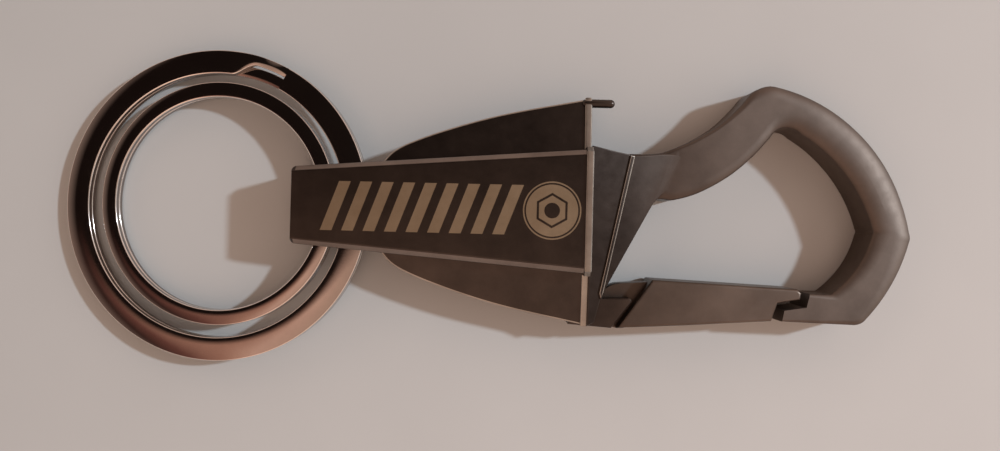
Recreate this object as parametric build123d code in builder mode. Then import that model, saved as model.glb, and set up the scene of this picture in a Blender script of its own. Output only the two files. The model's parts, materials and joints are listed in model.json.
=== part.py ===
"""Carabiner keyring: a die-cast hook body with a sprung gate and two nested split rings.

The back lies on z = 0, +X runs from the rings to the hook, and the spine's centre line is y = 0.
Lengths are millimetres and angles are degrees.
"""
from build123d import *
from math import atan2, cos, degrees, radians, sin
import os

os.makedirs("parts", exist_ok=True)

# ---------------------------------------------------------------- driving dimensions
HOOK_THICKNESS = 4.5          # hook, neck and hinge cheeks
HOOK_ROUND = 0.7              # rounding of the hook's top rim
TAIL_X = -18.6                # free end of the tail
RIB_X = 10.2                  # left face of the cross rib
RIB_WIDTH = 0.7
RIB_PROUD = 0.25              # rib above the spine and the wings
BLANK_HEIGHT = 9.0            # taller than the casting, before its sloping faces are cut

SPINE_TOP_TAIL = 6.0          # spine height at the tail
SPINE_TOP_RIB = 7.4           # spine height at the rib
SPINE_HALF_TAIL = 3.3         # half widths of the spine's top
SPINE_HALF_RIB = 5.5
SPINE_BEVEL_OUT = 0.5         # the spine's long bevels
SPINE_BEVEL_DOWN = 0.5

WING_START_X = -10.4
WING_ROOT_TAIL = 4.9          # wing surface height on the centre line
WING_ROOT_RIB = 5.6
WING_FALL = 0.09              # drop of each wing for each millimetre away from the spine
WING_TIP_Y = 11.3
RIM_BREAK = 0.25              # small rounding along sharp rims

TUNNEL_LOW = 1.3              # ring tunnel through the tail
TUNNEL_HIGH = 4.7
TUNNEL_LEFT = -17.1
TUNNEL_RIGHT = -10.6
TUNNEL_FLARE = 0.77           # floor and ceiling curve away towards both mouths
TUNNEL_FLARE_Y = 4.6

SHOULDER_TOP = 6.7            # shoulder facet where it meets the rib, and its rises along X and Y
SHOULDER_RISE_X = -0.251
SHOULDER_RISE_Y = 0.097
NECK_TOP = 5.4                # neck facet where the slanted ridge begins, and its rises
NECK_RISE_X = -0.2288
NECK_RISE_Y = 0.0869
CLAW_RADIUS = 0.42
CLAW_END_X = 12.75
CLAW_Y = 10.8
CLAW_Z = 4.5

PIVOT_X = 14.4                # gate hinge axis
PIVOT_Y = -9.4
PIN_RADIUS = 0.5
PIN_CLEARANCE = 0.05
PIN_TOP = 3.6
KNUCKLE_RADIUS = 2.3
KNUCKLE_FOOT = 1.0            # the fork's mouth reaches this much lower than the knuckle
FORK_LOW = 1.0                # fork slot between the cheeks
FORK_HIGH = 3.0
FORK_CLEARANCE = 0.1          # above and below the knuckle
FORK_REACH = 0.3              # around the knuckle
GATE_LOW = 0.1
GATE_HIGH = 4.4

PLUNGER_RISE = 0.9            # plunger axis above the hinge axis
PLUNGER_RADIUS = 0.5
PLUNGER_STEM = 0.25           # radius of the stem inside the spring
PLUNGER_HEAD_LENGTH = 1.6
PLUNGER_STEM_LENGTH = 1.4
HEEL_DISTANCE = 1.9           # the knuckle's flat heel from the hinge axis
HEEL_GAP = 0.02
BORE_RADIUS = 0.58
BORE_END_X = 4.4
PLUNGER_TRAVEL = 0.8
SPRING_WIRE = 0.2
SPRING_RADIUS = 0.42          # mean radius of the coil
SPRING_TURNS = 9

LARGE_RADIUS = 15.9
LARGE_BAND = 2.4
LARGE_TURN = 0.6              # thickness of one turn
SMALL_RADIUS = 12.45
SMALL_BAND = 1.55
SMALL_TURN = 0.6
TURN_GAP = 0.05
RING_EDGE = 0.12              # rounding of the ring wire
RING_AXIS_Z = 3.0             # the rings swing about the tunnel's mid height
LARGE_AXIS_X = -12.45
LARGE_AXIS_Y = -0.2           # the large ring has slipped a little to one side in the tunnel
SMALL_AXIS_X = -15.3
JOGGLE_START = 62.0           # the wire drops from the upper to the lower turn here
JOGGLE_END = 78.0
JOGGLE_STEPS = 5
FREE_END_WIDTH = 0.55         # share of the band that is left where the wire passes the free end
LARGE_JOGGLE_TURN = 0.0
SMALL_JOGGLE_TURN = -70.0     # the small ring's free end lies inside the tunnel

rib_end_x = RIB_X + RIB_WIDTH
bore_y = PIVOT_Y + PLUNGER_RISE
bore_z = (FORK_LOW + FORK_HIGH) / 2


def save(piece, name):
    """Label a finished piece and write it."""
    piece.label = name
    export_step(piece, f"parts/{name}.step")


def slope_plane(point, along_x, along_y):
    """Plane through a point, rising by the given amounts for each millimetre along X and Y."""
    return Plane(origin=point, z_dir=(-along_x, -along_y, 1))


# ---------------------------------------------------------------- hook, neck and hinge cheeks
with BuildPart() as hook:
    with BuildSketch():
        with BuildLine():
            Line((9.0, 6.3), (12.8, 6.0))
            Spline((12.8, 6.0), (17.5, 5.95), (22.0, 7.9), (26.0, 10.9), (28.8, 13.1),
                   tangents=[(1, -0.12), (1, 0.05)])
            ThreePointArc((28.8, 13.1), (37.6, 9.0), (43.2, -1.3))
            ThreePointArc((43.2, -1.3), (43.3, -1.8), (43.2, -2.3))
            ThreePointArc((43.2, -2.3), (41.4, -6.6), (38.9, -10.0))
            ThreePointArc((38.9, -10.0), (38.4, -10.45), (37.7, -10.65))
            Line((37.7, -10.65), (30.35, -10.45))
            Line((30.35, -10.45), (30.55, -9.35))
            Line((30.55, -9.35), (32.75, -9.0))
            Line((32.75, -9.0), (33.1, -7.6))
            Line((33.1, -7.6), (35.3, -7.6))
            ThreePointArc((35.3, -7.6), (37.6, -5.3), (39.4, -1.3))
            ThreePointArc((39.4, -1.3), (36.6, 4.3), (32.0, 8.3))
            ThreePointArc((32.0, 8.3), (30.3, 8.9), (28.8, 7.8))
            Spline((28.8, 7.8), (26.0, 4.8), (22.0, 2.2), (17.3, 1.2), tangents=[(-1, -1.1), (-1, -0.08)])
            Line((17.3, 1.2), (12.5, -7.8))
            Line((12.5, -7.8), (12.4, -8.55))
            Line((12.4, -8.55), (14.9, -8.5))
            ThreePointArc((14.9, -8.5), (15.3, -8.65), (15.25, -8.95))
            Line((15.25, -8.95), (13.35, -11.5))
            Line((13.35, -11.5), (9.0, -11.3))
            Line((9.0, -11.3), (9.0, 6.3))
        make_face()
    extrude(amount=HOOK_THICKNESS)
    outer_rim = hook.faces().sort_by(Axis.Z)[-1].edges().filter_by(lambda edge: edge.length > 18)
    fillet(outer_rim.sort_by(Axis.Y)[-2:], HOOK_ROUND)

# ---------------------------------------------------------------- wings under two falling planes
wing_climb = (WING_ROOT_RIB - WING_ROOT_TAIL) / (RIB_X - WING_START_X)
wing_root = (WING_START_X, 0, WING_ROOT_TAIL)
with BuildPart() as wings:
    with BuildSketch():
        with BuildLine():
            upper = Spline((WING_START_X, 3.8), (-7.6, 6.3), (0.8, 9.2), (rib_end_x, WING_TIP_Y))
            mirror(upper, about=Plane.XZ)
            Line((rib_end_x, WING_TIP_Y), (rib_end_x, -WING_TIP_Y))
            Line((WING_START_X, 3.8), (WING_START_X, -3.8))
        make_face()
    extrude(amount=BLANK_HEIGHT)
    for fall in (-WING_FALL, WING_FALL):
        split(bisect_by=slope_plane(wing_root, wing_climb, fall), keep=Keep.BOTTOM)

# ---------------------------------------------------------------- spine
def spine_section(x, top, half):
    """Bevelled cross section of the spine at one station."""
    with BuildSketch(Plane(origin=(x, 0, 0), x_dir=(0, 1, 0), z_dir=(1, 0, 0))) as section:
        with BuildLine():
            Polyline(
                (-half - SPINE_BEVEL_OUT, 0), (half + SPINE_BEVEL_OUT, 0),
                (half + SPINE_BEVEL_OUT, top - SPINE_BEVEL_DOWN), (half, top),
                (-half, top), (-half - SPINE_BEVEL_OUT, top - SPINE_BEVEL_DOWN),
                close=True,
            )
        make_face()
    return section.sketch


tail_section = spine_section(TAIL_X, SPINE_TOP_TAIL, SPINE_HALF_TAIL)
rib_section = spine_section(RIB_X, SPINE_TOP_RIB, SPINE_HALF_RIB)
with BuildPart() as spine:
    loft([tail_section, rib_section], ruled=True)
    end_edges = spine.faces().sort_by(Axis.X)[0].edges()
    fillet(end_edges, RIM_BREAK)

# ---------------------------------------------------------------- shoulder between rib and neck
shoulder_corner = (rib_end_x, 6.2)
shoulder_top = slope_plane((*shoulder_corner, SHOULDER_TOP), SHOULDER_RISE_X, SHOULDER_RISE_Y)
ridge_top = slope_plane((*shoulder_corner, SHOULDER_TOP + RIB_PROUD), SHOULDER_RISE_X, SHOULDER_RISE_Y)
neck_top = slope_plane((15.0, 5.5, NECK_TOP), NECK_RISE_X, NECK_RISE_Y)
with BuildPart() as shoulder:
    with BuildSketch():
        with BuildLine():
            Polyline((rib_end_x, 6.5), (12.8, 6.0), (15.0, 5.7), (12.25, -8.2), (11.6, -10.9),
                     (rib_end_x, -WING_TIP_Y), close=True)
        make_face()
    extrude(amount=BLANK_HEIGHT)
    split(bisect_by=shoulder_top, keep=Keep.BOTTOM)

with BuildPart() as ridge:
    with BuildSketch():
        with BuildLine():
            Polyline((14.65, 5.75), (15.15, 5.7), (12.45, -7.9), (12.15, -8.6), (11.95, -8.0), close=True)
        make_face()
    extrude(amount=BLANK_HEIGHT)
    split(bisect_by=ridge_top, keep=Keep.BOTTOM)

with BuildPart() as neck:
    with BuildSketch():
        with BuildLine():
            Polyline((14.9, 5.7), (19.6, 6.65), (19.6, 1.5), (17.3, 1.2), (12.5, -7.8), (12.2, -8.3),
                     close=True)
        make_face()
    extrude(amount=BLANK_HEIGHT)
    split(bisect_by=neck_top, keep=Keep.BOTTOM)

# ---------------------------------------------------------------- cross rib
wing_at_rib = WING_ROOT_RIB - WING_FALL * WING_TIP_Y
with BuildPart() as rib:
    with BuildSketch(Plane(origin=(RIB_X, 0, 0), x_dir=(0, 1, 0), z_dir=(1, 0, 0))):
        with BuildLine():
            half_rib = Polyline(
                (0, 0), (WING_TIP_Y, 0), (WING_TIP_Y, wing_at_rib + RIB_PROUD),
                (SPINE_HALF_RIB + SPINE_BEVEL_OUT + RIB_PROUD, WING_ROOT_RIB - 0.3),
                (SPINE_HALF_RIB + SPINE_BEVEL_OUT + RIB_PROUD, SPINE_TOP_RIB - SPINE_BEVEL_DOWN),
                (SPINE_HALF_RIB + RIB_PROUD, SPINE_TOP_RIB + RIB_PROUD),
                (0, SPINE_TOP_RIB + RIB_PROUD),
            )
            mirror(half_rib, about=Plane.YZ)
        make_face()
    extrude(amount=RIB_WIDTH)

# ---------------------------------------------------------------- whole casting
with BuildPart() as body_casting:
    add(wings.part)
    add(spine.part)
    add(hook.part)
    add(shoulder.part)
    add(neck.part)
    add(ridge.part)
    add(rib.part)
    # claw: a short round finger at the wing's corner
    with BuildSketch(Plane(origin=(RIB_X, CLAW_Y, CLAW_Z), x_dir=(0, 1, 0), z_dir=(1, 0, 0))):
        Circle(CLAW_RADIUS)
    extrude(amount=CLAW_END_X - RIB_X)
    with Locations((CLAW_END_X, CLAW_Y, CLAW_Z)):
        Sphere(CLAW_RADIUS)
    # tunnel for the rings, across the tail
    with BuildSketch(Plane(origin=(TUNNEL_LEFT, 0, 0), x_dir=(0, 1, 0), z_dir=(1, 0, 0))):
        with BuildLine():
            ceiling = ThreePointArc((-TUNNEL_FLARE_Y, TUNNEL_HIGH + TUNNEL_FLARE), (0, TUNNEL_HIGH),
                                    (TUNNEL_FLARE_Y, TUNNEL_HIGH + TUNNEL_FLARE))
            floor = ThreePointArc((-TUNNEL_FLARE_Y, TUNNEL_LOW - TUNNEL_FLARE), (0, TUNNEL_LOW),
                                  (TUNNEL_FLARE_Y, TUNNEL_LOW - TUNNEL_FLARE))
            Line(ceiling @ 0, floor @ 0)
            Line(ceiling @ 1, floor @ 1)
        make_face()
    extrude(amount=TUNNEL_RIGHT - TUNNEL_LEFT, mode=Mode.SUBTRACT)
    # fork slot for the knuckle, and the pin hole, blind from the back
    with BuildSketch(Plane.XY.offset(FORK_LOW)):
        with Locations((PIVOT_X, PIVOT_Y)):
            Circle(KNUCKLE_RADIUS + FORK_REACH)
        with Locations((PIVOT_X + KNUCKLE_RADIUS, PIVOT_Y - KNUCKLE_FOOT)):
            Rectangle(2 * KNUCKLE_RADIUS, 2 * KNUCKLE_RADIUS)
    extrude(amount=FORK_HIGH - FORK_LOW, mode=Mode.SUBTRACT)
    with BuildSketch(Plane.XY):
        with Locations((PIVOT_X, PIVOT_Y)):
            Circle(PIN_RADIUS)
    extrude(amount=PIN_TOP, mode=Mode.SUBTRACT)
    # spring bore, drilled from the fork slot
    with BuildSketch(Plane(origin=(BORE_END_X, bore_y, bore_z), x_dir=(0, 1, 0), z_dir=(1, 0, 0))):
        Circle(BORE_RADIUS)
    extrude(amount=PIVOT_X - HEEL_DISTANCE - BORE_END_X, mode=Mode.SUBTRACT)

save(body_casting.part, "body_casting")

# ---------------------------------------------------------------- gate
with BuildPart() as gate:
    with BuildSketch(Plane.XY.offset(GATE_LOW)):
        with BuildLine():
            Polyline((17.4, -6.6), (31.9, -7.2), (32.3, -7.55), (32.2, -8.25), (29.95, -8.65),
                     (29.35, -10.45), (21.3, -11.05), (13.95, -11.5), close=True)
        make_face()
    extrude(amount=GATE_HIGH - GATE_LOW)
    gate_rims = gate.faces().sort_by(Axis.Z)[-1].edges() + gate.faces().sort_by(Axis.Z)[0].edges()
    chamfer(gate_rims, RIM_BREAK)
    with BuildSketch(Plane.XY.offset(FORK_LOW + FORK_CLEARANCE)):
        with BuildLine():
            Polyline((PIVOT_X, PIVOT_Y + KNUCKLE_RADIUS), (17.6, -6.9), (17.6, -11.0),
                     (PIVOT_X, -11.3), close=True)
        make_face()
        with Locations((PIVOT_X, PIVOT_Y)):
            Circle(KNUCKLE_RADIUS)
        with Locations((PIVOT_X - HEEL_DISTANCE, PIVOT_Y)):
            Rectangle(KNUCKLE_RADIUS, 2 * KNUCKLE_RADIUS, align=(Align.MAX, Align.CENTER),
                      mode=Mode.SUBTRACT)
    extrude(amount=FORK_HIGH - FORK_LOW - 2 * FORK_CLEARANCE)
    with Locations((PIVOT_X, PIVOT_Y, bore_z)):
        Cylinder(PIN_RADIUS + PIN_CLEARANCE, HOOK_THICKNESS, mode=Mode.SUBTRACT)

save(gate.part, "gate")

# ---------------------------------------------------------------- hinge pin
with BuildPart() as gate_hinge_pin:
    with BuildSketch(Plane.XY):
        with Locations((PIVOT_X, PIVOT_Y)):
            Circle(PIN_RADIUS)
    extrude(amount=PIN_TOP)
    chamfer(gate_hinge_pin.faces().sort_by(Axis.Z)[-1].edges(), PIN_RADIUS / 5)

save(gate_hinge_pin.part, "gate_hinge_pin")

# ---------------------------------------------------------------- plunger and spring
nose_x = PIVOT_X - HEEL_DISTANCE - HEEL_GAP - PLUNGER_RADIUS      # centre of the round nose
shoulder_x = nose_x - PLUNGER_HEAD_LENGTH
stem_x = shoulder_x - PLUNGER_STEM_LENGTH
with BuildPart() as gate_plunger:
    with BuildSketch(Plane(origin=(0, bore_y, bore_z), x_dir=(1, 0, 0), z_dir=(0, -1, 0))):
        with BuildLine():
            Polyline((nose_x, PLUNGER_RADIUS), (shoulder_x, PLUNGER_RADIUS), (shoulder_x, PLUNGER_STEM),
                     (stem_x, PLUNGER_STEM), (stem_x, 0), (nose_x + PLUNGER_RADIUS, 0))
            CenterArc((nose_x, 0), PLUNGER_RADIUS, 0, 90)
        make_face()
    revolve(axis=Axis((0, bore_y, bore_z), (1, 0, 0)))

save(gate_plunger.part, "gate_plunger")

spring_end_x = shoulder_x - SPRING_WIRE / 2
spring_start_x = BORE_END_X + PLUNGER_TRAVEL + SPRING_WIRE
spring_length = spring_end_x - spring_start_x
with BuildPart() as gate_spring:
    with BuildLine() as coil:
        Helix(spring_length / SPRING_TURNS, spring_length, SPRING_RADIUS,
              center=(spring_start_x, bore_y, bore_z), direction=(1, 0, 0))
    with BuildSketch(Plane(origin=coil.line @ 0, z_dir=coil.line % 0)):
        Circle(SPRING_WIRE / 2)
    sweep(path=coil.line, is_frenet=True)

save(gate_spring.part, "gate_spring")


# ---------------------------------------------------------------- split rings
def wire_plane(angle):
    """Radial plane of a ring: its x runs outward and its y runs up."""
    outward = (cos(radians(angle)), sin(radians(angle)), 0)
    across = (sin(radians(angle)), -cos(radians(angle)), 0)
    return Plane(origin=(0, 0, 0), x_dir=outward, z_dir=across)


def wire_section(angle, radius, band, turn, height, width_share):
    """Rounded cross section of the flat wire at one angle."""
    with BuildSketch(wire_plane(angle)) as section:
        with Locations((radius - band / 2, height + turn / 2)):
            RectangleRounded(band * width_share, turn, RING_EDGE)
    return section.sketch


def split_ring(radius, band, turn, joggle_turn):
    """Two flat turns joined by a ramp, centred on z = 0 and on the wire's own centre line at +X."""
    start = JOGGLE_START + joggle_turn
    end = JOGGLE_END + joggle_turn
    rise = turn + TURN_GAP
    ramp_sections = []
    for step in range(JOGGLE_STEPS + 1):
        share = step / JOGGLE_STEPS
        smooth = share * share * (3 - 2 * share)
        angle = start + (end - start) * share
        width_share = FREE_END_WIDTH + (1 - FREE_END_WIDTH) * share
        ramp_sections.append(wire_section(angle, radius, band, turn, rise * smooth, width_share))
    with BuildPart() as ring:
        for height, first in ((0, end + 1), (rise, end)):
            with BuildSketch(wire_plane(first)):
                with Locations((radius - band / 2, height + turn / 2)):
                    RectangleRounded(band, turn, RING_EDGE)
            revolve(axis=Axis.Z, revolution_arc=360 + start - first)
        loft(ramp_sections)
    return ring.part.moved(Location((-(radius - band / 2), 0, -turn - TURN_GAP / 2)))


def place_ring(ring, axis_x, axis_y, radius, turn, band):
    """Tilt a ring about its section in the tunnel until its far rim rests on z = 0."""
    tilt = degrees(atan2(RING_AXIS_Z - turn, 2 * radius - band / 2))
    return ring.rotate(Axis.Y, -tilt).moved(Location((axis_x, axis_y, RING_AXIS_Z)))


large_split_ring = place_ring(
    split_ring(LARGE_RADIUS, LARGE_BAND, LARGE_TURN, LARGE_JOGGLE_TURN),
    LARGE_AXIS_X, LARGE_AXIS_Y, LARGE_RADIUS, LARGE_TURN, LARGE_BAND)
small_split_ring = place_ring(
    split_ring(SMALL_RADIUS, SMALL_BAND, SMALL_TURN, SMALL_JOGGLE_TURN),
    SMALL_AXIS_X, 0, SMALL_RADIUS, SMALL_TURN, SMALL_BAND)
save(large_split_ring, "large_split_ring")
save(small_split_ring, "small_split_ring")
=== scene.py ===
"""Looks of the carabiner keyring: satin gunmetal casting and gate, two black nickel split rings."""
import json
from math import atan2, cos, exp, hypot, log1p, pi, radians, sin

import bmesh
import bpy
import numpy as np
from mathutils import Matrix, Vector


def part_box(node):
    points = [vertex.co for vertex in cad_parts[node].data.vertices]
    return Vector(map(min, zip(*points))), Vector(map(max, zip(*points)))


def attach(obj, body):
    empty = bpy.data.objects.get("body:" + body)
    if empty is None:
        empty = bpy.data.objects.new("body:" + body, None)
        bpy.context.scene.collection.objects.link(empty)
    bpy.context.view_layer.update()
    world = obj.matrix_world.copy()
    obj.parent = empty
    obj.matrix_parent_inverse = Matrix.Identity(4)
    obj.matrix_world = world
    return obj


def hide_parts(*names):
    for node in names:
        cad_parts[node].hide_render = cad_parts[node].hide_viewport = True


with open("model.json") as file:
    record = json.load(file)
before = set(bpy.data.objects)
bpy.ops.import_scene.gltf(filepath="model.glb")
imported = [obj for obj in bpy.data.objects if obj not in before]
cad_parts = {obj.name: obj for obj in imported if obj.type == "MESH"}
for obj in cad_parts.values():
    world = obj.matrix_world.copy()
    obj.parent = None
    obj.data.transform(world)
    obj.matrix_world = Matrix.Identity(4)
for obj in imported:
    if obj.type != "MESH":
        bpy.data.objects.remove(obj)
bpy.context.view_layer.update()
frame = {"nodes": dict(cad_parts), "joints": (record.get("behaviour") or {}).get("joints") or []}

MM = 0.001

# ---------------------------------------------------------------- places taken from the frame
cast_low, cast_high = (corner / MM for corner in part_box("body_casting"))
pin_low, pin_high = (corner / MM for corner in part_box("gate_hinge_pin"))
gate_low, gate_high = (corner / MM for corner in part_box("gate"))
joints = {joint["name"]: joint for joint in frame["joints"]}
TAIL_X = cast_low.x
CREST_Z = cast_high.z                      # top of the rib
PIVOT = ((pin_low.x + pin_high.x) / 2, (pin_low.y + pin_high.y) / 2)

# ---------------------------------------------------------------- the casting's sizes, in millimetres
HOOK_THICKNESS = 4.5
RIB_X = 10.2
RIB_WIDTH = 0.7
RIB_END_X = RIB_X + RIB_WIDTH
RIB_PROUD = 0.25
SHOULDER_TOP = 6.7                         # where the shoulder meets the rib, at the arm's side
SHOULDER_SLOPE = (-0.251, 0.097)           # rise along x and y
SHOULDER_TOP_Y = 6.2
NECK_TOP = 5.4                             # where the neck meets the slanted ridge, at the arm's side
NECK_SLOPE = (-0.2288, 0.0869)
NECK_TOP_AT = (15.0, 5.5)
RIDGE_PROUD = 0.22
SPINE_TOP_TAIL = 6.0
SPINE_TOP_RIB = CREST_Z - RIB_PROUD
SPINE_HALF_TAIL = 3.3
SPINE_HALF_RIB = 5.5
SPINE_BEVEL_OUT = 0.5
SPINE_BEVEL_DOWN = 0.5
WING_START_X = -10.4
WING_ROOT_TAIL = 4.9
WING_ROOT_RIB = 5.6
WING_FALL = 0.09
WING_TIP_Y = 11.3
CLAW_Y = 10.8
CLAW_Z = 4.5
CLAW_END_X = 12.75
CLAW_RADIUS = 0.42
TUNNEL_LOW = 1.3
TUNNEL_HIGH = 4.7
TUNNEL_LEFT = -17.1
TUNNEL_RIGHT = -10.6
TUNNEL_FLARE = 0.77
TUNNEL_FLARE_Y = 4.6
FORK_LOW = 1.0
FORK_HIGH = 3.0
KNUCKLE_RADIUS = 2.3
FORK_REACH = 0.3
PIN_HOLE_RADIUS = 0.55
LEAST_STEP = 0.01                          # keeps faces that would lie in one plane apart

# ---------------------------------------------------------------- the split rings' sizes, in millimetres
CORNER_POINTS = 5                          # points round each corner of the wire's section
RING_LENGTH = 719                          # degrees of wire in the two turns
RING_STEPS = 2 * RING_LENGTH
TURN_OFFSET = 0.515                        # of a turn's thickness, from the ring's middle to a turn's middle
DIVE = (346, 360)                          # degrees from the free end: where the wire drops a turn
NARROW_BEFORE = (338, 348)                 # where it gives up width on its inner side, for the dive
WIDEN_AFTER = (362, 376)
INNER_NARROWING = 0.58                     # of the band's width
LAST_NARROW = (694, 703)                   # where it gives up width on its outer side, to its lower end
OUTER_NARROWING = 0.5
RINGS = (
    # name, CAD node, joint, body, band width, thickness of a turn, angle of the free end
    ("large_ring_wire", "large_split_ring", "large_ring_swing", "large_ring", 2.4, 0.6, 62),
    ("small_ring_wire", "small_split_ring", "small_ring_swing", "small_ring", 1.55, 0.6, -8),
)


# ---------------------------------------------------------------- outlines
def arc(start, through, end, count=14):
    """Points of the circle arc through three points, without the last one."""
    (ax, ay), (bx, by), (cx, cy) = start, through, end
    d = 2 * (ax * (by - cy) + bx * (cy - ay) + cx * (ay - by))
    ux = ((ax**2 + ay**2) * (by - cy) + (bx**2 + by**2) * (cy - ay) + (cx**2 + cy**2) * (ay - by)) / d
    uy = ((ax**2 + ay**2) * (cx - bx) + (bx**2 + by**2) * (ax - cx) + (cx**2 + cy**2) * (bx - ax)) / d
    radius = hypot(ax - ux, ay - uy)
    first, middle, last = (atan2(y - uy, x - ux) for x, y in (start, through, end))
    turn = (last - first) % (2 * pi)
    if (middle - first) % (2 * pi) > turn:
        turn -= 2 * pi
    return [(ux + radius * cos(first + turn * k / count), uy + radius * sin(first + turn * k / count))
            for k in range(count)]


def curve(*points, count=8):
    """Points of a smooth curve through all the given points, without the last one."""
    ends = [np.array(p, float) for p in points]
    padded = [2 * ends[0] - ends[1], *ends, 2 * ends[-1] - ends[-2]]
    made = []
    for a, b, c, d in zip(padded, padded[1:], padded[2:], padded[3:]):
        for k in range(count):
            t = k / count
            made.append(tuple(0.5 * (2 * b + (c - a) * t + (2 * a - 5 * b + 4 * c - d) * t**2
                                     + (3 * b - a - 3 * c + d) * t**3)))
    return made


def run(start, end, count=1):
    """Points along a straight line, without the last one."""
    return [(start[0] + (end[0] - start[0]) * k / count, start[1] + (end[1] - start[1]) * k / count)
            for k in range(count)]


def circle(centre, radius, count=96):
    return [(centre[0] + radius * cos(2 * pi * k / count), centre[1] + radius * sin(2 * pi * k / count))
            for k in range(count)]


# The hook's root, under the neck, and the two hinge cheeks with their slanted end.
root_outline = [
    *run((9.0, -11.2), (13.35, -11.5)),
    *run((13.35, -11.5), (15.25, -8.95)),
    *arc((15.25, -8.95), (15.3, -8.65), (14.9, -8.5), 5),
    *run((14.9, -8.5), (12.4, -8.55)),
    *run((12.4, -8.55), (12.5, -7.8)),
    *run((12.5, -7.8), (17.0, 0.65)),
    *run((17.0, 0.65), (17.6, 5.5)),
    *run((17.6, 5.5), (14.6, 5.8)),
    *run((14.6, 5.8), (12.8, 5.95)),
    *run((12.8, 5.95), (9.0, 6.1)),
]

# The hook's bar runs between an outer and an inner edge, from the arm's root round to the nose.
crown_arc = arc((29.6, 12.98), (37.55, 8.95), (43.2, -1.3), 40)
inner_crown_arc = arc((28.8, 7.8), (30.3, 8.9), (32.0, 8.3), 14)
hook_rails = [
    (curve((14.4, 5.9), (17.5, 6.0), (19.8, 6.8), (22.0, 7.9), (24.0, 9.25), (25.75, 10.95), (26.95, 12.35),
           (28.0, 12.92)),
     curve((15.3, -2.4), (17.3, 1.15), (19.3, 1.4), (21.5, 2.05), (23.8, 3.25), (25.7, 4.6), (27.4, 6.2),
           (28.8, 7.8))),
    (arc((28.0, 12.92), (28.75, 13.08), (29.6, 12.98), 4), inner_crown_arc[:4]),
    (crown_arc[:10], inner_crown_arc[4:]),
    (crown_arc[10:], arc((32.0, 8.3), (36.6, 4.3), (39.3, -1.0), 30)),
    (arc((43.2, -1.3), (43.3, -1.8), (43.2, -2.3), 6), arc((39.3, -1.0), (39.4, -1.3), (39.3, -1.6), 6)),
    (arc((43.2, -2.3), (41.4, -6.6), (38.9, -10.0), 16), arc((39.3, -1.6), (37.6, -5.3), (35.5, -7.45), 16)),
    (arc((38.9, -10.0), (38.4, -10.45), (37.7, -10.65), 6),
     arc((35.5, -7.45), (35.3, -7.57), (35.1, -7.6), 6)),
    ([*run((37.7, -10.65), (29.6, -10.43), 8), (29.6, -10.43)],
     [*run((35.1, -7.6), (31.6, -7.6), 8), (31.6, -7.6)]),
]
nose_cut = [(29.0, -12.0), (30.3, -12.0), (30.35, -10.45), (30.55, -9.35), (32.75, -9.0), (33.1, -7.6),
            (33.3, -6.4), (29.0, -6.4)]

# The neck is a short bar, from the slanted ridge into the arm.
neck_rails = [
    ([*curve((14.85, 5.6), (16.6, 5.78), (18.4, 6.0), (19.8, 5.95), (21.0, 5.5), count=10), (21.0, 5.5)],
     [*run((12.25, -8.25), (12.55, -7.75), 4), *run((12.55, -7.75), (17.2, 0.95), 22),
      *curve((17.2, 0.95), (18.3, 2.1), (20.6, 3.8), count=7), (20.6, 3.8)]),
]

# Rims of a bar's top along its length: share of the length, then how far in and down at the outer and at the
# inner edge.
NECK_RIMS = [(0, 0.12, 0.12, 0.12, 0.12), (1, 0.3, 0.25, 0.3, 0.25)]
HOOK_RIMS = [
    (0.00, 0.35, 0.25, 0.50, 0.30),
    (0.20, 0.50, 0.40, 1.20, 0.45),
    (0.34, 1.30, 0.70, 1.50, 0.55),
    (0.48, 2.20, 1.00, 1.60, 0.60),
    (0.64, 2.40, 1.10, 1.60, 0.55),
    (0.73, 1.80, 0.85, 1.50, 0.50),
    (0.86, 0.90, 0.45, 1.00, 0.50),
    (0.93, 0.40, 0.28, 0.45, 0.32),
    (1.00, 0.25, 0.20, 0.25, 0.20),
]


# ---------------------------------------------------------------- mesh tools
def as_object(name, mesh_data, finishes=(), worn=(), polished=(), smooth_angle=30):
    """A mesh object from vertices in millimetres and faces. The second and the third finish go on the faces
    that are worn and polished."""
    vertices, faces = mesh_data
    mesh = bpy.data.meshes.new(name)
    mesh.from_pydata([Vector(v) for v in vertices], [], faces)
    for finish in finishes:
        mesh.materials.append(finish)
    for finish_index, chosen in ((1, worn), (2, polished)):
        for index in chosen:
            mesh.polygons[index].material_index = finish_index
    work = bmesh.new()
    work.from_mesh(mesh)
    bmesh.ops.remove_doubles(work, verts=work.verts, dist=1e-4)
    bmesh.ops.recalc_face_normals(work, faces=work.faces)
    work.to_mesh(mesh)
    work.free()
    finish_shading(mesh, smooth_angle)
    made = bpy.data.objects.new(name, mesh)
    bpy.context.collection.objects.link(made)
    return made


def finish_shading(mesh, smooth_angle):
    mesh.shade_smooth()
    mesh.set_sharp_from_angle(angle=radians(smooth_angle))


def settle(piece, material, body, slot_name, *replaced):
    """Puts a piece built in millimetres into the scene: its size in metres, its finish, its body and the
    nodes that it stands for.
    slot_name is not used."""
    piece.data.transform(Matrix.Scale(MM, 4))
    if material:
        paint(piece, material)
    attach(piece, body)
    if replaced:
        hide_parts(*replaced)


def inset_directions(outline):
    """For each corner of an anticlockwise outline, the move that insets both its sides by one."""
    points = np.array(outline, float)
    ahead = np.roll(points, -1, axis=0) - points
    ahead /= np.linalg.norm(ahead, axis=1)[:, None]
    behind = np.roll(ahead, 1, axis=0)
    left_ahead = np.c_[-ahead[:, 1], ahead[:, 0]]
    left_behind = np.c_[-behind[:, 1], behind[:, 0]]
    together = 1 + (left_ahead * left_behind).sum(axis=1)
    return (left_ahead + left_behind) / np.maximum(together, 0.35)[:, None]


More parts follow.
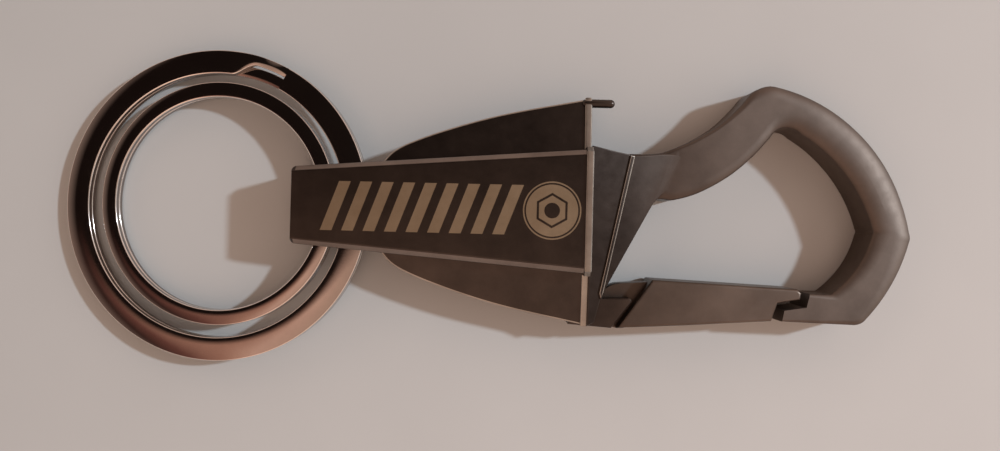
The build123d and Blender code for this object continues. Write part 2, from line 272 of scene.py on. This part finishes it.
def rounding(inward, down, steps=5):
    """(inset, drop) pairs of a quarter ellipse, from the upright side to the flat."""
    angles = [pi / 2 * k / steps for k in range(steps + 1)]
    return [(inward * (1 - cos(a)), down * (1 - sin(a))) for a in angles]


def plate(outline, top, bottom=0.0, top_round=(0.3, 0.3), bottom_round=(0.2, 0.2), steps=5):
    """A plate with rounded rims. top is a height or a function of x and y."""
    points = np.array(outline, float)
    inward = inset_directions(outline)
    height = top if callable(top) else (lambda x, y: top)
    rings = []
    for inset, drop in reversed(rounding(*bottom_round, steps=3)):
        rings.append([(x, y, bottom + drop) for x, y in points + inward * inset])
    for inset, drop in rounding(*top_round, steps=steps):
        rings.append([(x, y, height(x, y) - drop) for x, y in points + inward * inset])
    return close_rings(rings)


def bar(rails, rims, top, bottom):
    """A curved bar between paired outer and inner edge points, with rims that vary along it. top is a height
    or a function of x and y."""
    height = top if callable(top) else (lambda x, y: top)
    outer = [Vector((*p, 0)) for side, _ in rails for p in side]
    inner = [Vector((*p, 0)) for _, side in rails for p in side]
    middle = [(a + b) / 2 for a, b in zip(outer, inner)]
    travelled = np.r_[0, np.cumsum([(b - a).length for a, b in zip(middle, middle[1:])])]
    shares = travelled / travelled[-1]
    table = np.array(rims)
    foot = 0.3
    rings = []
    for share, a, b in zip(shares, outer, inner):
        across = (b - a).normalized()
        out_in, out_down, in_in, in_down = (np.interp(share, table[:, 0], rim) for rim in table[:, 1:].T)
        sole = [(inset, bottom + drop) for inset, drop in rounding(foot, foot, 3)]
        section = [(a + across * inset, z) for inset, z in reversed(sole)]
        for edge, inward, rim in ((a, across, rounding(out_in, out_down, 9)),
                                  (b, -across, list(reversed(rounding(in_in, in_down, 9))))):
            for inset, drop in rim:
                point = edge + inward * inset
                section.append((point, height(point.x, point.y) - drop))
        section += [(b - across * inset, z) for inset, z in sole]
        rings.append([(p.x, p.y, z) for p, z in section])
    return close_rings(rings)


def top_faces(corners, levels, first, last):
    """Face numbers of close_rings between two levels, counted down from the top one."""
    total = 1 + levels * corners
    return range(total - last * corners, total - first * corners)


def close_rings(rings):
    """Vertices and faces of a closed skin over a stack of equal rings."""
    count = len(rings[0])
    vertices = [v for ring in rings for v in ring]
    faces = [list(reversed(range(count)))]
    for level in range(len(rings) - 1):
        base = level * count
        for k in range(count):
            following = (k + 1) % count
            faces.append((base + k, base + following, base + count + following, base + count + k))
    faces.append([(len(rings) - 1) * count + k for k in range(count)])
    return vertices, faces


def box_mesh(low, high):
    """Plain box between two corners."""
    (ax, ay, az), (bx, by, bz) = low, high
    return close_rings([[(ax, ay, z), (bx, ay, z), (bx, by, z), (ax, by, z)] for z in (az, bz)])


def tube_mesh(start, end, radius, count=32):
    """Round bar between two points, with rounded ends."""
    a, b = Vector(start), Vector(end)
    along = (b - a).normalized()
    side = along.orthogonal().normalized()
    other = along.cross(side)
    rings = []
    for centre, angles in ((a, (-80, -60, -40, -20, 0)), (b, (0, 20, 40, 60, 80))):
        for angle in angles:
            r = radius * cos(radians(angle))
            middle = centre + along * radius * sin(radians(angle))
            rings.append([tuple(middle + (side * cos(t) + other * sin(t)) * r)
                          for t in (2 * pi * k / count for k in range(count))])
    return close_rings(rings)


def combine(base, others, operation):
    """Boolean of a mesh object with several others, which are then removed."""
    for other in others:
        modifier = base.modifiers.new("boolean", "BOOLEAN")
        modifier.operation = operation
        modifier.solver = "EXACT"
        modifier.material_mode = "TRANSFER"
        modifier.object = other
    mesh = bpy.data.meshes.new_from_object(base.evaluated_get(bpy.context.evaluated_depsgraph_get()))
    base.modifiers.clear()
    old = base.data
    base.data = mesh
    bpy.data.meshes.remove(old)
    for other in others:
        bpy.data.objects.remove(other)
    return base


# ---------------------------------------------------------------- heights of the casting's sloping faces
def spine_top(x, y):
    share = (x - TAIL_X) / (RIB_X - TAIL_X)
    return SPINE_TOP_TAIL + (SPINE_TOP_RIB - SPINE_TOP_TAIL) * share


def wing_top(x, y):
    share = (x - WING_START_X) / (RIB_X - WING_START_X)
    return WING_ROOT_TAIL + (WING_ROOT_RIB - WING_ROOT_TAIL) * share - WING_FALL * abs(y)


def shoulder_top(x, y):
    return SHOULDER_TOP + SHOULDER_SLOPE[0] * (x - RIB_END_X) + SHOULDER_SLOPE[1] * (y - SHOULDER_TOP_Y)


def neck_top(x, y):
    """The neck's sloping face, which runs out smoothly into the hook's flat top."""
    slope = NECK_TOP + NECK_SLOPE[0] * (x - NECK_TOP_AT[0]) + NECK_SLOPE[1] * (y - NECK_TOP_AT[1])
    blend = 0.12
    return HOOK_THICKNESS + blend * log1p(exp((slope - HOOK_THICKNESS) / blend)) - 2 * LEAST_STEP


# ---------------------------------------------------------------- the casting
def casting(finishes):
    """The whole casting, with worn metal on its rib, its slanted ridge and the wings' sharp rims, and
    polished metal on the spine's long bevels."""
    corner = 0.5
    foot_y = SPINE_HALF_TAIL + SPINE_BEVEL_OUT
    turn = corner * (1 - cos(pi / 4))
    spine_foot = [
        (RIB_X + 0.2, -SPINE_HALF_RIB - SPINE_BEVEL_OUT), (RIB_X + 0.2, SPINE_HALF_RIB + SPINE_BEVEL_OUT),
        *arc((TAIL_X + corner, foot_y + 0.03), (TAIL_X + turn, foot_y - turn), (TAIL_X, foot_y - corner), 6),
        *arc((TAIL_X, corner - foot_y), (TAIL_X + turn, turn - foot_y), (TAIL_X + corner, -foot_y - 0.03), 6)]
    inward = inset_directions(spine_foot)
    inward[:2, 0] = 0
    inward[2:, 0] *= 0.3
    rings = [[(x, y, LEAST_STEP) for x, y in spine_foot]]
    for inset, drop in ((0, SPINE_BEVEL_DOWN + 0.08), (0.03, SPINE_BEVEL_DOWN - 0.01),
                        (SPINE_BEVEL_OUT - 0.04, 0.05), (SPINE_BEVEL_OUT + 0.02, 0.01),
                        (SPINE_BEVEL_OUT + 0.1, 0)):
        rings.append([(x, y, spine_top(x, y) - drop) for x, y in np.array(spine_foot) + inward * inset])
    bevels = top_faces(len(spine_foot), 5, 2, 3)
    spine = as_object("spine", close_rings(rings), finishes, polished=(bevels[1], bevels[-1]))

    wing_pieces = []
    wing_end_x = RIB_END_X - 0.1
    wing_inner_y = 1.0
    for side in (1, -1):
        edge = [*curve((WING_START_X, 3.8), (-7.6, 6.3), (0.8, 9.2), (wing_end_x, WING_TIP_Y), count=10),
                (wing_end_x, WING_TIP_Y), (wing_end_x, wing_inner_y), (WING_START_X, wing_inner_y)]
        outline = [(x, side * y) for x, y in edge]
        if side > 0:
            outline.reverse()
        wing = plate(outline, wing_top, top_round=(0.16, 0.14), steps=3)
        wing_pieces.append(as_object("wing", wing, finishes, top_faces(len(outline), 7, 0, 3)))

    root = as_object("root", plate(
        root_outline, HOOK_THICKNESS - LEAST_STEP, bottom=2 * LEAST_STEP, top_round=(0.15, 0.15),
        bottom_round=(0.15, 0.15), steps=3), finishes)
    hook = as_object("hook", bar(hook_rails, HOOK_RIMS, HOOK_THICKNESS, 0.0), finishes)
    shoulder = as_object("shoulder", plate(
        [(RIB_END_X - 0.04, -WING_TIP_Y), (11.6, -10.9), (12.25, -8.2), (15.0, 5.65), (12.8, 6.02),
         (RIB_END_X - 0.04, 6.4)], shoulder_top, bottom=0.03, top_round=(0.1, 0.1), steps=3), finishes)
    neck = as_object("neck", bar(neck_rails, NECK_RIMS, neck_top, 0.04), finishes)
    ridge = as_object("ridge", plate(
        [(11.95, -8.0), (12.15, -8.6), (12.45, -7.9), (15.15, 5.6), (14.65, 5.63)],
        lambda x, y: shoulder_top(x, y) + RIDGE_PROUD, bottom=0.05, top_round=(0.12, 0.2), steps=3),
        finishes, top_faces(5, 7, 0, 3))

    tip = WING_TIP_Y + 0.03
    wing_at_rib = WING_ROOT_RIB - WING_FALL * WING_TIP_Y
    half = [(tip, 0.015), (tip, wing_at_rib + RIB_PROUD),
            (SPINE_HALF_RIB + SPINE_BEVEL_OUT + RIB_PROUD, WING_ROOT_RIB - 0.3),
            (SPINE_HALF_RIB + SPINE_BEVEL_OUT + RIB_PROUD, SPINE_TOP_RIB - SPINE_BEVEL_DOWN),
            (SPINE_HALF_RIB + RIB_PROUD, CREST_Z)]
    rib_outline = half + [(-y, z) for y, z in reversed(half)]
    rim = (0.14, 0.14)
    flat_rib, faces = plate(rib_outline, RIB_WIDTH, top_round=rim, bottom_round=rim, steps=3)
    rib = as_object("rib", ([(RIB_X + x, y, z) for y, z, x in flat_rib], faces), finishes,
                    range(1, len(faces) - 1))
    claw = as_object("claw", tube_mesh(
        (RIB_X + 0.1, CLAW_Y, CLAW_Z), (CLAW_END_X, CLAW_Y, CLAW_Z), CLAW_RADIUS), finishes)

    whole = combine(spine, [*wing_pieces, rib, hook, root, shoulder, neck, ridge, claw], "UNION")
    mouth_profile = [*arc((-TUNNEL_FLARE_Y, TUNNEL_LOW - TUNNEL_FLARE), (0, TUNNEL_LOW),
                          (TUNNEL_FLARE_Y, TUNNEL_LOW - TUNNEL_FLARE), 16),
                     (TUNNEL_FLARE_Y, TUNNEL_LOW - TUNNEL_FLARE),
                     *arc((TUNNEL_FLARE_Y, TUNNEL_HIGH + TUNNEL_FLARE), (0, TUNNEL_HIGH),
                          (-TUNNEL_FLARE_Y, TUNNEL_HIGH + TUNNEL_FLARE), 16),
                     (-TUNNEL_FLARE_Y, TUNNEL_HIGH + TUNNEL_FLARE)]
    tunnel = as_object("tunnel", close_rings(
        [[(x, y, z) for y, z in mouth_profile] for x in (TUNNEL_LEFT, TUNNEL_RIGHT)]))
    nose = as_object("nose", close_rings(
        [[(x, y, z) for x, y in nose_cut] for z in (-1, HOOK_THICKNESS + 1)]))
    px, py = PIVOT
    fork_outline = circle(PIVOT, KNUCKLE_RADIUS + FORK_REACH, 40)
    fork = as_object("fork", close_rings(
        [[(x, y, z) for x, y in fork_outline] for z in (FORK_LOW, FORK_HIGH)]))
    # The fork is open towards the gate's leaf and below the knuckle.
    mouth = as_object("mouth", box_mesh((px, py - 3.3, FORK_LOW), (px + 4.6, py + 1.3, FORK_HIGH)))
    fork = combine(fork, [mouth], "UNION")
    combine(whole, [tunnel, nose, fork], "DIFFERENCE")
    finish_shading(whole.data, 28)
    whole.name = "casting_skin"
    whole.modifiers.new("even_normals", "WEIGHTED_NORMAL").keep_sharp = True
    return whole


# ---------------------------------------------------------------- the gate
def gate():
    outline = [(13.95, -11.5), (21.3, -11.05), (29.35, -10.45), (29.95, -8.65), (32.2, -8.25), (32.3, -7.55),
               (31.9, -7.2), (17.4, -6.6)]
    leaf = as_object("leaf", plate(outline, gate_high.z, bottom=gate_low.z, top_round=(0.28, 0.28),
                                   bottom_round=(0.28, 0.28), steps=4))
    px, py = PIVOT
    heel = 1.9                             # from the pin to the flat that the plunger presses on
    first = atan2((KNUCKLE_RADIUS**2 - heel**2) ** 0.5, -heel)
    turns = [first * (1 - k / 24) for k in range(49)]
    knuckle_outline = [(px + KNUCKLE_RADIUS * cos(t), py + KNUCKLE_RADIUS * sin(t)) for t in reversed(turns)]
    knuckle = as_object("knuckle", plate(knuckle_outline, FORK_HIGH - 0.1, bottom=FORK_LOW + 0.1,
                                         top_round=(0.12, 0.12), bottom_round=(0.12, 0.12), steps=3))
    web = as_object("web", plate([(px, -11.3), (17.6, -11.0), (17.6, -6.9), (px, py + KNUCKLE_RADIUS)],
                                 FORK_HIGH - 0.1, bottom=FORK_LOW + 0.1, top_round=(0.05, 0.05),
                                 bottom_round=(0.05, 0.05), steps=2))
    whole = combine(leaf, [knuckle, web], "UNION")
    hole_outline = circle(PIVOT, PIN_HOLE_RADIUS, 32)
    hole_ends = (FORK_LOW - 0.5, FORK_HIGH + 0.5)
    hole = as_object("hole", close_rings([[(x, y, z) for x, y in hole_outline] for z in hole_ends]))
    combine(whole, [hole], "DIFFERENCE")
    finish_shading(whole.data, 28)
    whole.name = "gate_skin"
    whole.modifiers.new("even_normals", "WEIGHTED_NORMAL").keep_sharp = True
    return whole


# ---------------------------------------------------------------- split rings
def wire_profile(band, turn):
    """Cross section of a flat ring wire, as (outward, up) from its middle, with a rounder inner edge."""
    made = []
    inner, outer = turn * 0.22, turn * 0.16
    corners = [
        (band / 2 - outer, turn / 2 - outer, outer, 90), (-band / 2 + inner, turn / 2 - inner, inner, 180),
        (-band / 2 + inner, -turn / 2 + inner, inner, 270), (band / 2 - outer, -turn / 2 + outer, outer, 360)]
    for out, up, radius, last in corners:
        for k in range(CORNER_POINTS):
            angle = radians(last - 90 + 90 * k / (CORNER_POINTS - 1))
            made.append((out + radius * cos(angle), up + radius * sin(angle)))
    return made


def smooth_step(value, stretch):
    """Smoothly from 0 to 1 over a stretch."""
    low, high = stretch
    share = min(max((value - low) / (high - low), 0), 1)
    return share * share * (3 - 2 * share)


def split_ring(name, node, joint, band, turn, free_end, finishes):
    """One flat wire wound twice. Its upper turn ends square at the angle free_end, in degrees. Just before
    that end the wire narrows from its inner side and dives to the lower turn, past the lower turn's own
    end, which is narrowed from its outer side."""
    low, high = (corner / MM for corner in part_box(node))
    radius = (high.y - low.y) / 2
    hinge = Vector(joint["pos_m"]) / MM
    hinge.y = (high.y + low.y) / 2
    tilt = atan2(hinge.z - turn, 2 * radius - band / 2)
    profile = wire_profile(band, turn)
    rings = []
    for k in range(RING_STEPS + 1):
        gone = RING_LENGTH * k / RING_STEPS
        angle = radians(free_end - gone)
        height = turn * TURN_OFFSET * (1 - 2 * smooth_step(gone, DIVE))
        narrowed = smooth_step(gone, NARROW_BEFORE) - smooth_step(gone, WIDEN_AFTER)
        kept_outside = 1 - INNER_NARROWING * narrowed
        kept_inside = 1 - OUTER_NARROWING * smooth_step(gone, LAST_NARROW)
        station = []
        for out, up in profile:
            r = radius - (band / 2 - out) * kept_outside
            r = radius - band + (r - radius + band) * kept_inside
            station.append((r * cos(angle) - (radius - band / 2), r * sin(angle), up + height))
        rings.append(station)
    vertices, faces = close_rings(rings)
    turned = Matrix.Rotation(-tilt, 4, "Y")
    placed = [tuple(turned @ Vector(v) + hinge) for v in vertices]
    corners = {side * CORNER_POINTS + k for side in range(4) for k in range(CORNER_POINTS - 1)}
    edges = [1 + k for k in range(len(faces) - 2) if k % len(profile) in corners]
    ring = as_object(name, (placed, faces), finishes, edges, smooth_angle=40)
    ring.modifiers.new("even_normals", "WEIGHTED_NORMAL").keep_sharp = True
    return ring


# ---------------------------------------------------------------- etched marks on the spine
def mark(name, outline, hole=None):
    """Thin etched patch that follows the spine's top."""
    raised = 0.012
    sunk = 0.03
    if hole is None:
        rings = [[(x, y, spine_top(x, y) + z) for x, y in outline] for z in (-sunk, raised)]
        return as_object(name, close_rings(rings))
    count = len(outline)
    vertices, faces = [], []
    for points, z in ((outline, -sunk), (outline, raised), (hole, raised), (hole, -sunk)):
        vertices += [(x, y, spine_top(x, y) + z) for x, y in points]
    for loop in range(4):
        a, b = loop * count, ((loop + 1) % 4) * count
        faces += [(a + k, a + (k + 1) % count, b + (k + 1) % count, b + k) for k in range(count)]
    return as_object(name, (vertices, faces))


def hexagon(centre, radius, count=96):
    """Hexagon with as many points as a circle, so that the two can bound one patch."""
    made = []
    for k in range(count):
        angle = 2 * pi * k / count
        reach = radius * cos(pi / 6) / cos((angle + pi / 6) % (pi / 3) - pi / 6)
        made.append((centre[0] + reach * cos(angle), centre[1] + reach * sin(angle)))
    return made


def etched_marks():
    """A nut in a round emblem near the rib, and a row of slanted stripes towards the tail."""
    centre = (7.0, 0.0)
    made = [mark("emblem_rim", circle(centre, 2.8), circle(centre, 2.66)),
            mark("emblem_disc", circle(centre, 2.5), hexagon(centre, 1.7)),
            mark("emblem_nut", hexagon(centre, 1.45), circle(centre, 0.75))]
    stripes = 9
    first_x, pitch, width, half_length, lean = -14.6, 2.1, 1.15, 2.4, 0.9
    for k in range(stripes):
        x = first_x + k * pitch
        made.append(mark(f"stripe_{k}", [
            (x - lean, -half_length), (x + width - lean, -half_length), (x + width + lean, half_length),
            (x + lean, half_length)]))
    return made


# ---------------------------------------------------------------- materials
RUBBED_FROM_X = 14                         # the hook's rubbed look comes in between these two, in millimetres
RUBBED_TO_X = 25


def new_material(name):
    material = bpy.data.materials.new(name)
    material.use_nodes = True
    tree = material.node_tree
    return material, tree, tree.nodes["Principled BSDF"]


def noise(tree, scale, detail, roughness):
    coords = tree.nodes.new("ShaderNodeTexCoord")
    texture = tree.nodes.new("ShaderNodeTexNoise")
    texture.inputs["Scale"].default_value = scale
    texture.inputs["Detail"].default_value = detail
    texture.inputs["Roughness"].default_value = roughness
    tree.links.new(coords.outputs["Object"], texture.inputs["Vector"])
    return texture.outputs["Fac"]


def ramp(tree, value, stops):
    node = tree.nodes.new("ShaderNodeValToRGB")
    elements = node.color_ramp.elements
    while len(elements) < len(stops):
        elements.new(0.5)
    for element, (place, colour) in zip(elements, stops):
        element.position = place
        element.color = (*colour, 1)
    tree.links.new(value, node.inputs["Fac"])
    return node.outputs["Color"]


def remap(tree, value, start, end, low=0.0, high=1.0):
    """A value that goes from low to high as the given one goes from start to end."""
    node = tree.nodes.new("ShaderNodeMapRange")
    node.inputs["From Min"].default_value = start
    node.inputs["From Max"].default_value = end
    node.inputs["To Min"].default_value = low
    node.inputs["To Max"].default_value = high
    tree.links.new(value, node.inputs["Value"])
    return node.outputs["Result"]


def place_in(tree, coordinate):
    """The three coordinates of a point on the object, or of a direction in the world."""
    coords = tree.nodes.new("ShaderNodeTexCoord")
    split = tree.nodes.new("ShaderNodeSeparateXYZ")
    tree.links.new(coords.outputs[coordinate], split.inputs["Vector"])
    return split.outputs["X"], split.outputs["Y"], split.outputs["Z"]


def calculate(tree, operation, *values):
    """The result of one Math node, whose values are sockets or plain numbers."""
    node = tree.nodes.new("ShaderNodeMath")
    node.operation = operation
    for socket, value in zip(node.inputs, values):
        if isinstance(value, (int, float)):
            socket.default_value = value
        else:
            tree.links.new(value, socket)
    return node.outputs["Value"]


def blend_colours(tree, share, first, second):
    """Colour that goes from the first to the second as share goes from 0 to 1."""
    mix = tree.nodes.new("ShaderNodeMix")
    mix.data_type = "RGBA"
    tree.links.new(share, mix.inputs["Factor"])
    tree.links.new(first, mix.inputs["A"])
    tree.links.new(second, mix.inputs["B"])
    return mix.outputs["Result"]


def bump(tree, shader, value, strength, distance):
    node = tree.nodes.new("ShaderNodeBump")
    node.inputs["Strength"].default_value = strength
    node.inputs["Distance"].default_value = distance
    tree.links.new(value, node.inputs["Height"])
    tree.links.new(node.outputs["Normal"], shader.inputs["Normal"])


def plated_metal(name, dark, light, rough_low, rough_high, grain, grain_depth, rubbed=None):
    """Plated metal: cloudy colour, uneven gloss and a fine blasted grain. rubbed is the colour, and the
    roughness to add, that the plating has on the hook, where use has rubbed it lighter and duller."""
    material, tree, shader = new_material(name)
    shader.inputs["Metallic"].default_value = 1.0
    clouds = noise(tree, 260, 5, 0.62)
    colour = ramp(tree, clouds, [(0.3, dark), (0.7, light)])
    rough = remap(tree, noise(tree, 900, 6, 0.7), 0.25, 0.75, rough_low, rough_high)
    if rubbed:
        tint, rough_added = rubbed
        x, _, _ = place_in(tree, "Object")
        share = remap(tree, x, RUBBED_FROM_X * MM, RUBBED_TO_X * MM)
        colour = blend_colours(tree, share, colour, ramp(tree, clouds, [
            (0.3, tuple(0.85 * c for c in tint)), (0.7, tuple(1.15 * c for c in tint))]))
        rough = calculate(tree, "MULTIPLY_ADD", share, rough_added, rough)
    tree.links.new(colour, shader.inputs["Base Color"])
    tree.links.new(rough, shader.inputs["Roughness"])
    bump(tree, shader, noise(tree, grain, 3, 0.7), 0.35, grain_depth)
    return material


def make_materials():
    return {
        "casting": plated_metal("gunmetal_casting", (0.054, 0.044, 0.039), (0.08, 0.064, 0.056), 0.28, 0.36,
                                9000, 0.00001, rubbed=((0.155, 0.123, 0.104), 0.22)),
        "worn": plated_metal("worn_rim", (0.30, 0.27, 0.24), (0.46, 0.42, 0.37), 0.26, 0.4, 9000, 0.00001),
        "polished": plated_metal("rubbed_bevel", (0.2, 0.162, 0.14), (0.27, 0.222, 0.193), 0.3, 0.4,
                                 9000, 0.00001),
        "gate": plated_metal("gunmetal_gate", (0.085, 0.066, 0.054), (0.12, 0.094, 0.078), 0.4, 0.5,
                             9000, 0.00001, rubbed=((0.165, 0.13, 0.108), 0.0)),
        "ring": plated_metal("black_nickel", (0.29, 0.25, 0.235), (0.33, 0.29, 0.27), 0.04, 0.09,
                             4000, 0.000002),
        "ring_edge": plated_metal("bright_nickel_edge", (0.66, 0.63, 0.6), (0.8, 0.77, 0.74), 0.07, 0.15,
                                  4000, 0.000002),
        "steel": plated_metal("ground_steel", (0.4, 0.4, 0.4), (0.5, 0.5, 0.5), 0.2, 0.35, 6000, 0.000003),
        "etching": plated_metal("etched_bronze", (0.27, 0.205, 0.135), (0.34, 0.265, 0.18), 0.5, 0.62,
                                14000, 0.000012),
    }


def floor_material():
    """Pale tabletop with painted light and shade: a little lighter towards the front right and darker towards
    the back left, as the light falls across it.
    """
    material, tree, shader = new_material("pale_tabletop")
    shader.inputs["Roughness"].default_value = 0.75
    clouds = noise(tree, 22, 4, 0.55)
    x, y, _ = place_in(tree, "Object")
    # painted light and shade: the back left colour is darker and the front right colour lighter, as the light
    # falls across the table
    left = ramp(tree, clouds, [(0.3, (0.46, 0.475, 0.468)), (0.7, (0.496, 0.512, 0.504))])
    right = ramp(tree, clouds, [(0.3, (0.605, 0.608, 0.592)), (0.7, (0.645, 0.648, 0.632))])
    slanted = calculate(tree, "MULTIPLY_ADD", y, -0.9, x)
    tree.links.new(blend_colours(tree, remap(tree, slanted, -0.07, 0.06), left, right),
                   shader.inputs["Base Color"])
    bump(tree, shader, noise(tree, 1800, 4, 0.6), 0.08, 0.00005)
    return material


# ---------------------------------------------------------------- stage
CAMERA_AT = Vector((2.04, -1.55, 79.7)) * MM
CAMERA_ROLL = radians(1.4)
CAMERA_SENSOR = 36.0
CAMERA_LENS = 27.2
LAMP_DIRECTION = Vector((1.365, 0.41, 1.0)).normalized()
LAMP_DISTANCE = 3.0
LAMP_SIZE = 0.17
LAMP_POWER = 56
LAMP_COLOUR = (0.79, 0.9, 1.0)
FLOOR_SIZE = 1.5
FLOOR_DROP = 0.00002                       # keeps the floor clear of the flat back


def make_floor():
    mesh = bpy.data.meshes.new("tabletop")
    half = FLOOR_SIZE / 2
    corners = [(-half, -half, 0), (half, -half, 0), (half, half, 0), (-half, half, 0)]
    mesh.from_pydata(corners, [], [(0, 1, 2, 3)])
    floor = bpy.data.objects.new("tabletop", mesh)
    floor.location.z = -FLOOR_DROP
    bpy.context.collection.objects.link(floor)
    floor.data.materials.append(floor_material())


def make_lamp():
    lamp = bpy.data.lights.new("softbox", "AREA")
    lamp.shape = "DISK"
    lamp.size = LAMP_SIZE
    lamp.energy = LAMP_POWER
    lamp.color = LAMP_COLOUR
    light = bpy.data.objects.new("softbox", lamp)
    light.location = LAMP_DIRECTION * LAMP_DISTANCE
    light.rotation_mode = "QUATERNION"
    light.rotation_quaternion = LAMP_DIRECTION.to_track_quat("Z", "Y")
    bpy.context.collection.objects.link(light)


def make_sky():
    """A room's light: a warm glow low all round, and overhead a front and a back ceiling, each brighter and
    darker from left to right."""
    world = bpy.data.worlds.new("studio")
    bpy.context.scene.world = world
    world.use_nodes = True
    tree = world.node_tree
    background = tree.nodes["Background"]
    x, y, z = place_in(tree, "Generated")
    across = calculate(tree, "DIVIDE", x, z)
    along = calculate(tree, "DIVIDE", y, z)
    place = remap(tree, across, -1.0, 1.0)
    front = ramp(tree, place, [
        (0.1, (0.1, 0.05, 0.04)), (0.165, (0.32, 0.13, 0.1)), (0.225, (0.9, 0.48, 0.34)),
        (0.27, (1.35, 0.86, 0.66)), (0.36, (1.1, 0.74, 0.56)), (0.46, (0.9, 0.62, 0.48)),
        (0.62, (0.82, 0.59, 0.48)), (0.7, (0.5, 0.34, 0.27)), (0.83, (0.1, 0.07, 0.055))])
    back = ramp(tree, place, [
        (0.1, (0.02, 0.012, 0.01)), (0.5, (0.025, 0.018, 0.015)), (0.58, (0.45, 0.33, 0.27)),
        (0.66, (0.95, 0.7, 0.6)), (0.72, (0.6, 0.42, 0.34)), (0.84, (0.1, 0.07, 0.055))])
    ceiling = blend_colours(tree, remap(tree, along, -0.1, -0.01), front, back)
    low_sky = ramp(tree, remap(tree, x, -1.0, 1.0), [
        (0.0, (0.62, 0.45, 0.37)), (0.85, (0.84, 0.59, 0.48)), (1.0, (1.5, 1.38, 1.3))])
    sky = blend_colours(tree, remap(tree, z, 0.6, 0.76), low_sky, ceiling)
    tree.links.new(sky, background.inputs["Color"])
    background.inputs["Strength"].default_value = 1.0


def make_camera():
    lens = bpy.data.cameras.new("camera")
    lens.sensor_width = CAMERA_SENSOR
    lens.lens = CAMERA_LENS
    lens.clip_start = 0.002
    camera = bpy.data.objects.new("camera", lens)
    camera.location = CAMERA_AT
    camera.rotation_euler = (0, 0, CAMERA_ROLL)
    bpy.context.collection.objects.link(camera)
    bpy.context.scene.camera = camera
    bpy.context.scene.view_settings.view_transform = "Standard"


# ---------------------------------------------------------------- assembly
def paint(piece, material):
    piece.data.materials.clear()
    piece.data.materials.append(material)


def main():
    make_camera()
    make_floor()
    make_lamp()
    make_sky()
    materials = make_materials()

    whole = casting((materials["casting"], materials["worn"], materials["polished"]))
    settle(whole, None, "casting", "casting", "body_casting")
    settle(gate(), materials["gate"], "gate", "gate_casting", "gate")
    for name, node, joint, body, band, turn, free_end in RINGS:
        ring = split_ring(name, node, joints[joint], band, turn, free_end,
                          (materials["ring"], materials["ring_edge"]))
        settle(ring, None, body, "black_nickel", node)
    for piece in etched_marks():
        settle(piece, materials["etching"], "casting", "etching")
    for node in ("gate_hinge_pin", "gate_plunger", "gate_spring"):
        paint(frame["nodes"][node], materials["steel"])


main()
